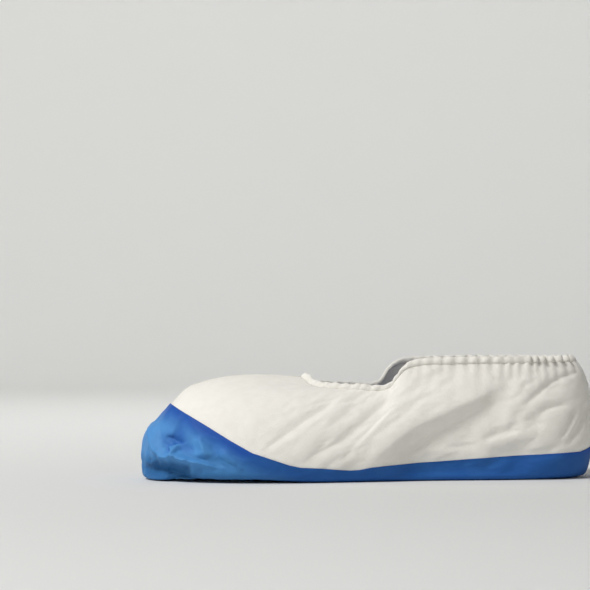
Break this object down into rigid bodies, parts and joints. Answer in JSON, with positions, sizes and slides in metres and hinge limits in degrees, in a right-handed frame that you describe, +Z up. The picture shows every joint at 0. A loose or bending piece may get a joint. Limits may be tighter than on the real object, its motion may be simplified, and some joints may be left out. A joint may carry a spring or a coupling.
{
  "type": "shoe cover",
  "caption": "Disposable shoe cover in the form a foot gives it: a bag of white nonwoven with an elastic hem, on a boat of blue film highest at the toe.",
  "frame": {"origin": "middle of the sole, on the floor", "axes": "+Z up out of the opening, -X to the toe, -Y to the outer side of the foot, as a left foot wears it"},
  "size_m": [0.301, 0.0984, 0.0813],
  "materials": {
    "blue_film": "satin polyethylene film",
    "white_nonwoven": "matte spunbond nonwoven with fine bond points",
    "welded_seam": "nonwoven flattened by welding",
    "elastic_hem": "folded and gathered nonwoven"
  },
  "bodies": {
    "root": {"sole_film": "blue_film", "outer_wall": "white_nonwoven", "inner_wall": "white_nonwoven", "toe_seam": "welded_seam", "heel_seam": "welded_seam", "opening_hem": "elastic_hem"}
  },
  "joints": []
}
